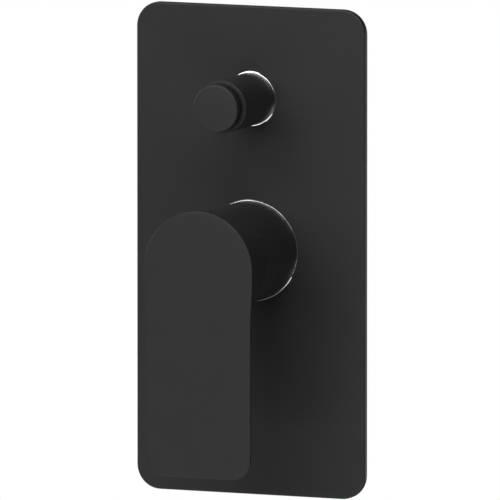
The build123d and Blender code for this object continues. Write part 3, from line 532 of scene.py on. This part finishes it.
def button_profile(trim):
    """Cap, skirt and hub for the rod, from the middle of the face to the bottom of the rod hole."""
    outer, front, rear = BUTTON_HIGH[0], BUTTON_LOW[1], BUTTON_HIGH[1]
    cap = front + trim.button_cap
    skirt = trim.button_skirt
    bore = skirt - trim.button_wall
    inner = front + trim.button_face
    hub, hub_end = trim.button_hub, inner + trim.button_hub_length
    rod, rod_end = trim.rod_hole, inner + trim.rod_seat
    corners = np.array([
        (0.0, front), (outer, front), (outer, cap), (skirt, cap), (skirt, rear), (bore, rear), (bore, inner),
        (hub, inner), (hub, hub_end), (rod, hub_end), (rod, rod_end), (0.0, rod_end)])
    return eased_path(corners[:, None, :], BUTTON_EASES[:, None], FINE_EASE_STEPS)[:, 0]


def ring_profile(trim, inner, wall, top):
    """Polished ring: a shallow top, a flank down to the plate, a collar through the sheet and a flange."""
    outer = inner + wall
    flange = outer + trim.ring_flange
    plate = PLATE_LOW[1]
    sheet = plate + trim.sheet
    ledge = sheet + trim.ring_ledge
    rear = trim.ring_rear
    seal = inner + trim.ring_seal
    proud = plate - trim.ring_lip
    corners = [
        (inner, ledge), (inner, proud), (inner + top, proud + top * math.tan(trim.ring_fall)),
        (outer, plate), (outer, sheet), (flange, sheet), (flange, rear), (seal, rear), (seal, ledge)]
    return eased_ring(corners, RING_EASED_CORNERS * trim.ring_ease)


# Threads and spring


def thread_grid(trim, start, direction):
    """Threaded lining of a socket: a tube whose bore is r = R - h tri(l / pitch - t / 2 pi).

    tri rises and falls evenly between 0 and 1. l runs along the socket, and the ridge fades at both ends.
    """
    rows = int(trim.thread_length / trim.thread_pitch * THREAD_ROWS_PER_TURN)
    t = np.linspace(0.0, 2 * np.pi, THREAD_STEPS, endpoint=False)[None, :]
    along = np.linspace(0.0, trim.thread_length, rows)[:, None]
    wave = 1.0 - np.abs(2.0 * np.mod(along / trim.thread_pitch - t / (2 * np.pi), 1.0) - 1.0)
    left = trim.thread_length - along
    fade = smooth_step(along / trim.thread_pitch) * smooth_step(left / trim.thread_pitch)
    outer = trim.thread_radius - trim.thread_gap
    bore = outer - trim.thread_wall - trim.thread_height * wave * fade
    r = np.concatenate([bore, np.full((2, THREAD_STEPS), outer)])
    l = np.concatenate([along, along[-1:], along[:1]]) + 0 * t
    axis = unit(np.array(direction, float))
    across = unit(np.cross(axis, (0.0, 1.0, 0.0)))
    other = np.cross(axis, across)
    rim = r[..., None] * (np.cos(t)[..., None] * across + np.sin(t)[..., None] * other)
    return np.array(start) + l[..., None] * axis + rim


def spring_grid(trim):
    """Round wire carried along a helix about the depth axis, closed at both ends by a point.

    Round the wire, out = cos v moves away from the axis and up = sin v along it, leaned by the helix's slope.
    """
    turns = trim.spring_turns
    wire = trim.spring_wire
    radius = SPRING_HIGH[0] - wire
    first, last = SPRING_LOW[1] + wire, SPRING_HIGH[1] - wire
    u = np.linspace(0.0, 1.0, int(turns * SPRING_STEPS_PER_TURN) + 1)[:, None]
    v = np.linspace(0.0, 2 * np.pi, WIRE_STEPS, endpoint=False)[None, :]
    a = 2 * np.pi * turns * u
    pitch = (last - first) / turns
    lean = math.atan2(pitch, 2 * np.pi * radius)
    out = np.cos(v)
    up = np.sin(v)
    r = radius + wire * out
    side = -wire * up * math.sin(lean)
    x = r * np.cos(a) - side * np.sin(a)
    z = DIVERTER_Z + r * np.sin(a) + side * np.cos(a)
    y = first + (last - first) * u + wire * up * math.cos(lean)
    grid = np.stack([x, y, z], axis=-1)
    ends = grid.mean(axis=1, keepdims=True)[[0, -1]].repeat(WIRE_STEPS, axis=1)
    return np.concatenate([ends[:1], grid, ends[1:]])


# Finishes


def new_group(name, inputs, outputs):
    """Empty shader node group with named sockets, given as name to (type, default)."""
    group = bpy.data.node_groups.new(name, "ShaderNodeTree")
    for label, (kind, default) in inputs.items():
        socket = group.interface.new_socket(label, in_out="INPUT", socket_type=kind)
        if default is not None:
            socket.default_value = default
    for label, kind in outputs.items():
        group.interface.new_socket(label, in_out="OUTPUT", socket_type=kind)
    entry = group.nodes.new("NodeGroupInput")
    leave = group.nodes.new("NodeGroupOutput")
    return group, entry, leave


def grain_group():
    """Fine grain: two sizes of noise added up, as a mask for colour and gloss and a height for bump."""
    group, entry, leave = new_group(
        "fine_grain",
        {"Vector": ("NodeSocketVector", None), "Fine": ("NodeSocketFloat", 2500.0),
         "Broad": ("NodeSocketFloat", 120.0), "Broad Share": ("NodeSocketFloat", 0.35)},
        {"Mask": "NodeSocketFloat", "Height": "NodeSocketFloat"})
    fine = group.nodes.new("ShaderNodeTexNoise")
    fine.inputs["Detail"].default_value = 3.0
    broad = group.nodes.new("ShaderNodeTexNoise")
    broad.inputs["Detail"].default_value = 2.0
    mix = group.nodes.new("ShaderNodeMix")
    mix.data_type = "FLOAT"
    link = group.links.new
    link(entry.outputs["Vector"], fine.inputs["Vector"])
    link(entry.outputs["Vector"], broad.inputs["Vector"])
    link(entry.outputs["Fine"], fine.inputs["Scale"])
    link(entry.outputs["Broad"], broad.inputs["Scale"])
    link(entry.outputs["Broad Share"], mix.inputs["Factor"])
    link(fine.outputs["Fac"], mix.inputs["A"])
    link(broad.outputs["Fac"], mix.inputs["B"])
    link(mix.outputs["Result"], leave.inputs["Mask"])
    link(fine.outputs["Fac"], leave.inputs["Height"])
    return group


LATHE_DEPTH_SHARE = 0.35
LATHE_NOISE_SCALE = 400.0
LATHE_WAVE_SHARE = 0.3
LATHE_RELIEF = (0.08, 0.00002)


def lathe_group():
    """Turning marks: sin(k r) of a distance r, roughened by noise.

    r is measured from the object's origin with the depth taken at a share, so rings show on faces and sides.
    """
    group, entry, leave = new_group(
        "turning_marks",
        {"Vector": ("NodeSocketVector", None), "Lines": ("NodeSocketFloat", 9000.0)},
        {"Mask": "NodeSocketFloat"})
    flat = group.nodes.new("ShaderNodeVectorMath")
    flat.operation = "MULTIPLY"
    flat.inputs[1].default_value = (1.0, LATHE_DEPTH_SHARE, 1.0)
    reach = group.nodes.new("ShaderNodeVectorMath")
    reach.operation = "LENGTH"
    stretch = group.nodes.new("ShaderNodeMath")
    stretch.operation = "MULTIPLY"
    wave = group.nodes.new("ShaderNodeMath")
    wave.operation = "SINE"
    noise = group.nodes.new("ShaderNodeTexNoise")
    noise.inputs["Scale"].default_value = LATHE_NOISE_SCALE
    scale = group.nodes.new("ShaderNodeMath")
    scale.operation = "MULTIPLY_ADD"
    scale.inputs[1].default_value = LATHE_WAVE_SHARE
    link = group.links.new
    link(entry.outputs["Vector"], flat.inputs[0])
    link(flat.outputs["Vector"], reach.inputs[0])
    link(reach.outputs["Value"], stretch.inputs[0])
    link(entry.outputs["Lines"], stretch.inputs[1])
    link(stretch.outputs["Value"], wave.inputs[0])
    link(entry.outputs["Vector"], noise.inputs["Vector"])
    link(wave.outputs["Value"], scale.inputs[0])
    link(noise.outputs["Fac"], scale.inputs[2])
    link(scale.outputs["Value"], leave.inputs["Mask"])
    return group


class Finish:
    """One material under construction: its nodes, its shader and its Object coordinates."""

    def __init__(self, name, metallic=0.0, specular=0.5):
        self.material = bpy.data.materials.new(name)
        self.material.use_nodes = True
        self.tree = self.material.node_tree
        self.shader = self.tree.nodes["Principled BSDF"]
        self.shader.inputs["Metallic"].default_value = metallic
        self.shader.inputs["Specular IOR Level"].default_value = specular
        self.place = self.tree.nodes.new("ShaderNodeTexCoord").outputs["Object"]

    def link(self, source, target):
        """Joins two sockets of this material."""
        self.tree.links.new(source, target)

    def group(self, group, values):
        """A shared effect placed in this material with its own values."""
        made = self.tree.nodes.new("ShaderNodeGroup")
        made.node_tree = group
        for label, value in values.items():
            made.inputs[label].default_value = value
        self.link(self.place, made.inputs["Vector"])
        return made

    def blend(self, mask, dark, light):
        """Colour that runs from dark to light by a mask."""
        ramp = self.tree.nodes.new("ShaderNodeMix")
        ramp.data_type = "RGBA"
        ramp.inputs["A"].default_value = (*dark, 1.0)
        ramp.inputs["B"].default_value = (*light, 1.0)
        self.link(mask, ramp.inputs["Factor"])
        return ramp.outputs["Result"]

    def span(self, mask, low, high):
        """Mask from 0 to 1 spread over a range of values."""
        spread = self.tree.nodes.new("ShaderNodeMapRange")
        spread.inputs["To Min"].default_value = low
        spread.inputs["To Max"].default_value = high
        self.link(mask, spread.inputs["Value"])
        return spread.outputs["Result"]

    def vary(self, mask, colour, contrast, rough):
        """Colour and gloss that vary with a mask, the colour by a contrast to both sides."""
        colours = self.blend(mask, shade(colour, 1 - contrast), shade(colour, 1 + contrast))
        self.link(colours, self.shader.inputs["Base Color"])
        self.link(self.span(mask, *rough), self.shader.inputs["Roughness"])

    def bump(self, height, strength, distance):
        """Relief from a height, fed to the shader's normal."""
        relief = self.tree.nodes.new("ShaderNodeBump")
        relief.inputs["Strength"].default_value = strength
        relief.inputs["Distance"].default_value = distance
        self.link(height, relief.inputs["Height"])
        self.link(relief.outputs["Normal"], self.shader.inputs["Normal"])


def shade(colour, factor):
    """Colour made darker or lighter by a factor."""
    return tuple(min(c * factor, 1.0) for c in colour)


def grained(name, colour, rough, grain, contrast, relief, metallic=0.0, specular=0.5, **values):
    """Finish whose colour, gloss and relief vary with the fine grain.

    relief is the bump's strength and its distance in metres, and values go to the grain's own sockets.
    """
    finish = Finish(name, metallic, specular)
    effect = finish.group(grain, values)
    finish.vary(effect.outputs["Mask"], colour, contrast, rough)
    finish.bump(effect.outputs["Height"], *relief)
    return finish.material


def machined(name, colour, rough, lathe, contrast=0.08):
    """Bare metal with turning marks."""
    finish = Finish(name, 1.0)
    mask = finish.group(lathe, {}).outputs["Mask"]
    finish.vary(mask, colour, contrast, rough)
    finish.bump(mask, *LATHE_RELIEF)
    return finish.material


COAT_SPREAD = 0.05


def make_finishes(c):
    """All finishes by name."""
    grain, lathe = grain_group(), lathe_group()
    made = {}
    made["matte_black"] = grained(
        "matte_black_coat", c.coat, (c.coat_roughness - COAT_SPREAD, c.coat_roughness + COAT_SPREAD), grain,
        contrast=0.10, specular=c.coat_specular, relief=(0.06, 0.00003),
        Fine=3200.0, Broad=90.0)
    made["polished_trim"] = grained(
        "polished_chrome", c.chrome, (0.03, 0.06), grain, contrast=0.03, metallic=1.0,
        relief=(0.02, 0.00001), Fine=1500.0, Broad=200.0)
    made["raw_brass"] = grained(
        "cast_brass", c.brass, (0.34, 0.56), grain, contrast=0.22, metallic=1.0,
        relief=(0.35, 0.00008), Fine=1100.0, Broad=110.0)
    made["machined_brass"] = machined("machined_brass", c.brass, (0.22, 0.38), lathe)
    made["drawn_brass"] = grained(
        "drawn_brass", c.brass, (0.26, 0.36), grain, contrast=0.06, metallic=1.0,
        relief=(0.05, 0.00002), Fine=900.0, Broad=60.0)
    made["black_rubber"] = grained(
        "seal_rubber", c.rubber, (0.55, 0.72), grain, contrast=0.2, relief=(0.1, 0.00003),
        Fine=2600.0, Broad=300.0)
    made["black_plastic"] = grained(
        "plug_plastic", c.rubber, (0.42, 0.55), grain, contrast=0.15, relief=(0.08, 0.00003),
        Fine=3000.0, Broad=300.0)
    made["foam"] = grained(
        "gasket_foam", c.foam, (0.8, 0.95), grain, contrast=0.35, relief=(0.5, 0.00015),
        Fine=1400.0, Broad=250.0)
    made["cartridge_plastic"] = grained(
        "cartridge_plastic", c.plastic, (0.35, 0.48), grain, contrast=0.05, relief=(0.05, 0.00002),
        Fine=1800.0, Broad=120.0)
    made["alumina"] = grained(
        "ground_ceramic", c.ceramic, (0.18, 0.30), grain, contrast=0.04, relief=(0.03, 0.00001),
        Fine=2400.0, Broad=200.0)
    made["steel"] = machined("drawn_steel", c.steel, (0.22, 0.36), lathe)
    return made


TURNED_NODES = ("cartridge_nut", "cartridge_stem", "diverter_gland", "diverter_rod", "rear_plug")
BRASS_FINISH = {"riser_pipe": "drawn_brass", **dict.fromkeys(TURNED_NODES, "machined_brass")}
FINISHES = {}


def finish_for(name):
    """A finish by its slot; the finishes operator makes them first."""
    if name not in FINISHES:
        raise RuntimeError(f"run the finishes operator before asking for {name}")
    return FINISHES[name]


# Operators


class MIXER_OT_finishes(bpy.types.Operator):
    """Make every finish and put it on the nodes that keep their own shape"""
    bl_idname = "mixer.finishes"
    bl_label = "Make finishes"

    def execute(self, context):
        FINISHES.update(make_finishes(context.scene.mixer_finish))
        for name, node in NODES.items():
            finish = finish_for(BRASS_FINISH.get(name, SLOT_OF[name]))
            if not node.material_slots:
                node.data.materials.append(finish)
            for slot in node.material_slots:
                slot.material = finish
        return {"FINISHED"}


class MIXER_OT_lever(bpy.types.Operator):
    """Build the lever handle's skin with its screw hole"""
    bl_idname = "mixer.lever"
    bl_label = "Build lever"

    def execute(self, context):
        sizes = context.scene.mixer_lever
        lever = skin("lever_skin", lever_grid(sizes))
        drill(lever, access_cutter(sizes))
        place(lever, "handle", "lever_handle", finish_for("matte_black"))
        return {"FINISHED"}


class MIXER_OT_turned_trim(bpy.types.Operator):
    """Turn the sleeve, the diverter shroud and the push button"""
    bl_idname = "mixer.turned_trim"
    bl_label = "Turn trim"

    def execute(self, context):
        trim, lever = context.scene.mixer_trim, context.scene.mixer_lever
        count = trim.round_steps
        coat = finish_for("matte_black")
        sleeve = skin("sleeve_skin", turned_grid(sleeve_profile(trim, lever), count, 0.0), True)
        place(sleeve, "body", "handle_sleeve", coat)
        shroud = skin("shroud_skin", turned_grid(shroud_profile(trim), count, DIVERTER_Z), True)
        place(shroud, "body", "diverter_shroud", coat)
        button = skin("button_skin", turned_grid(button_profile(trim), count, DIVERTER_Z))
        place(button, "button", "diverter_button", coat)
        return {"FINISHED"}


class MIXER_OT_trim_rings(bpy.types.Operator):
    """Turn the two polished rings"""
    bl_idname = "mixer.trim_rings"
    bl_label = "Turn rings"

    def execute(self, context):
        trim = context.scene.mixer_trim
        chrome = finish_for("polished_trim")
        bores = (
            ("handle", SLEEVE_HIGH[0], trim.handle_ring_wall, trim.handle_ring_top, 0.0),
            ("diverter", SHROUD_HIGH[0], trim.diverter_ring_wall, trim.diverter_ring_top, DIVERTER_Z))
        for name, radius, wall, top, z in bores:
            profile = ring_profile(trim, radius + trim.ring_gap, wall, top)
            ring = skin(f"{name}_ring_skin", turned_grid(profile, trim.round_steps, z), True)
            place(ring, "body", f"{name}_trim_ring", chrome)
        return {"FINISHED"}


class MIXER_OT_threads(bpy.types.Operator):
    """Line the four pipe sockets with their threads"""
    bl_idname = "mixer.threads"
    bl_label = "Cut threads"

    def execute(self, context):
        trim = context.scene.mixer_trim
        for mount in frame["record"]["mounts"]:
            if mount["kind"] != "threaded_hole":
                continue
            axis = np.array(mount["axis"], float)
            reach = mount["dims"]["length_mm"] * MM / 2 - trim.thread_lead
            grid = thread_grid(trim, np.array(mount["pos_m"]) + axis * reach, -axis)
            thread = skin(f"{mount['name']}_thread", grid, True, THREAD_CRISP_ANGLE)
            place(thread, "body", None, finish_for("machined_brass"))
        return {"FINISHED"}


class MIXER_OT_spring(bpy.types.Operator):
    """Coil the return spring and carry it on the button"""
    bl_idname = "mixer.spring"
    bl_label = "Coil spring"

    def execute(self, context):
        spring = skin("spring_coil", spring_grid(context.scene.mixer_trim))
        place(spring, "button", "button_spring", finish_for("steel"))
        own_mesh(spring)
        return {"FINISHED"}


class MIXER_OT_studio(bpy.types.Operator):
    """Set up the camera, the pale floor and the soft studio light"""
    bl_idname = "mixer.studio"
    bl_label = "Set up studio"

    def execute(self, context):
        studio = context.scene.mixer_studio
        make_camera(context.scene, studio)
        make_floor(studio)
        make_world(context.scene, studio)
        for name, place_and_size in SOFT_BOXES.items():
            soft_box(name, *place_and_size, studio.lamp_distance, getattr(studio, f"{name}_power"))
        context.scene.view_settings.view_transform = "Standard"
        return {"FINISHED"}


# Studio


# Azimuth to the right and elevation in degrees, width and height in metres of each soft box
# The two in front leave a dark band level with the plate, which the polished rings show on their right
SOFT_BOXES = {
    "upper": (-7.0, 27.0, 2.0, 1.6),
    "lower": (-6.0, -30.0, 1.8, 1.18),
    "right_low": (46.0, -30.0, 1.4, 1.0),
    "right_top": (27.0, 47.0, 1.1, 1.2),
    "key": (-45.0, 54.0, 1.2, 1.2),
    "crown": (-86.0, 73.0, 1.5, 1.5),
    "rear": (180.0, 50.0, 1.1, 1.1),
    "edge": (166.0, -6.0, 0.8, 0.8),
    "left": (-82.0, 14.0, 1.0, 1.2),
}
LAMP_TARGET = Vector((0.0, -0.03, 0.0))
SENSOR_WIDTH = 36.0
CLIP_END = 200.0
FLOOR_GREY = 0.7


def direction(azimuth, elevation):
    """Unit vector from the object: right by the azimuth from the front, up by the elevation."""
    level = math.cos(elevation)
    return Vector((math.sin(azimuth) * level, -math.cos(azimuth) * level, math.sin(elevation)))


def make_camera(scene, studio):
    """Long lens aimed at the middle of the plate's face."""
    data = bpy.data.cameras.new("camera")
    camera = bpy.data.objects.new("camera", data)
    scene.collection.objects.link(camera)
    back = direction(studio.azimuth, studio.elevation)
    target = Vector((0.0, PLATE_LOW[1], 0.0))
    camera.location = target + back * studio.distance
    camera.rotation_euler = (-back).to_track_quat("-Z", "Y").to_euler()
    data.sensor_width = SENSOR_WIDTH
    data.lens = studio.lens
    data.shift_x = studio.shift_x
    data.shift_y = studio.shift_y
    data.clip_end = CLIP_END
    scene.camera = camera


def make_floor(studio):
    """Pale floor: white where it is seen or mirrored, grey where it only gives light, open from below."""
    half = studio.floor_half
    corners = [(-half, -half), (half, -half), (half, half), (-half, half)]
    mesh = bpy.data.meshes.new("floor")
    mesh.from_pydata([(x, y, studio.floor_height) for x, y in corners], [], [(0, 1, 2, 3)])
    floor = bpy.data.objects.new("floor", mesh)
    bpy.context.scene.collection.objects.link(floor)
    material = bpy.data.materials.new("pale_floor")
    material.use_nodes = True
    nodes, link = material.node_tree.nodes, material.node_tree.links.new
    nodes.clear()
    path = nodes.new("ShaderNodeLightPath")
    seen = nodes.new("ShaderNodeMath")
    seen.operation = "MAXIMUM"
    link(path.outputs["Is Camera Ray"], seen.inputs[0])
    link(path.outputs["Is Glossy Ray"], seen.inputs[1])
    plain = nodes.new("ShaderNodeBsdfDiffuse")
    plain.inputs["Color"].default_value = (FLOOR_GREY, FLOOR_GREY, FLOOR_GREY, 1.0)
    white = nodes.new("ShaderNodeEmission")
    mix = nodes.new("ShaderNodeMixShader")
    link(seen.outputs["Value"], mix.inputs["Fac"])
    link(plain.outputs["BSDF"], mix.inputs[1])
    link(white.outputs["Emission"], mix.inputs[2])
    clear = nodes.new("ShaderNodeBsdfTransparent")
    side = nodes.new("ShaderNodeNewGeometry")
    both = nodes.new("ShaderNodeMixShader")
    link(side.outputs["Backfacing"], both.inputs["Fac"])
    link(mix.outputs["Shader"], both.inputs[1])
    link(clear.outputs["BSDF"], both.inputs[2])
    out = nodes.new("ShaderNodeOutputMaterial")
    link(both.outputs["Shader"], out.inputs["Surface"])
    mesh.materials.append(material)


def make_world(scene, studio):
    """White where the camera looks past the floor, and dim as light."""
    world = bpy.data.worlds.new("room")
    world.use_nodes = True
    nodes, link = world.node_tree.nodes, world.node_tree.links.new
    nodes.clear()
    path = nodes.new("ShaderNodeLightPath")
    white = nodes.new("ShaderNodeBackground")
    white.inputs["Color"].default_value = (1.0, 1.0, 1.0, 1.0)
    dim = nodes.new("ShaderNodeBackground")
    dim.inputs["Color"].default_value = (1.0, 1.0, 1.0, 1.0)
    dim.inputs["Strength"].default_value = studio.room
    mix = nodes.new("ShaderNodeMixShader")
    link(path.outputs["Is Camera Ray"], mix.inputs["Fac"])
    link(dim.outputs["Background"], mix.inputs[1])
    link(white.outputs["Background"], mix.inputs[2])
    out = nodes.new("ShaderNodeOutputWorld")
    link(mix.outputs["Shader"], out.inputs["Surface"])
    scene.world = world


def soft_box(name, azimuth, elevation, width, height, distance, watts):
    """Area lamp that faces the middle of the object from an angle to the right and above level."""
    data = bpy.data.lights.new(f"{name}_box", "AREA")
    data.shape = "RECTANGLE"
    data.size = width
    data.size_y = height
    data.energy = watts
    lamp = bpy.data.objects.new(data.name, data)
    back = direction(math.radians(azimuth), math.radians(elevation))
    lamp.location = LAMP_TARGET + back * distance
    lamp.rotation_euler = (-back).to_track_quat("-Z", "Y").to_euler()
    bpy.context.scene.collection.objects.link(lamp)


# Panel and registration


class MIXER_PT_panel(bpy.types.Panel):
    """Lists the sizes, the finishes and the steps of the shower mixer"""
    bl_idname = "MIXER_PT_panel"
    bl_label = "Shower Mixer"
    bl_space_type = "VIEW_3D"
    bl_region_type = "UI"
    bl_category = "Shower Mixer"

    def draw(self, context):
        for attribute, group in SETTINGS.items():
            box = self.layout.box()
            box.label(text=group.__name__)
            for name in group.__annotations__:
                box.prop(getattr(context.scene, attribute), name)
        for operator in STEPS:
            self.layout.operator(operator.bl_idname)


SETTINGS = {
    "mixer_lever": LeverSizes,
    "mixer_trim": TrimSizes,
    "mixer_finish": FinishColours,
    "mixer_studio": StudioSettings,
}
STEPS = (
    MIXER_OT_studio,
    MIXER_OT_finishes,
    MIXER_OT_lever,
    MIXER_OT_turned_trim,
    MIXER_OT_trim_rings,
    MIXER_OT_threads,
    MIXER_OT_spring,
)


def register():
    """Registers the settings, the operators and the panel."""
    for group in SETTINGS.values():
        bpy.utils.register_class(group)
    for attribute, group in SETTINGS.items():
        setattr(bpy.types.Scene, attribute, PointerProperty(type=group))
    for operator in STEPS:
        bpy.utils.register_class(operator)
    bpy.utils.register_class(MIXER_PT_panel)


def unregister():
    """Takes back what register did."""
    bpy.utils.unregister_class(MIXER_PT_panel)
    for operator in reversed(STEPS):
        bpy.utils.unregister_class(operator)
    for attribute in SETTINGS:
        delattr(bpy.types.Scene, attribute)
    for group in reversed(list(SETTINGS.values())):
        bpy.utils.unregister_class(group)


def main():
    """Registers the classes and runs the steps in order."""
    register()
    bpy.ops.mixer.studio()
    bpy.ops.mixer.finishes()
    bpy.ops.mixer.lever()
    bpy.ops.mixer.turned_trim()
    bpy.ops.mixer.trim_rings()
    bpy.ops.mixer.threads()
    bpy.ops.mixer.spring()


if __name__ == "__main__":
    main()
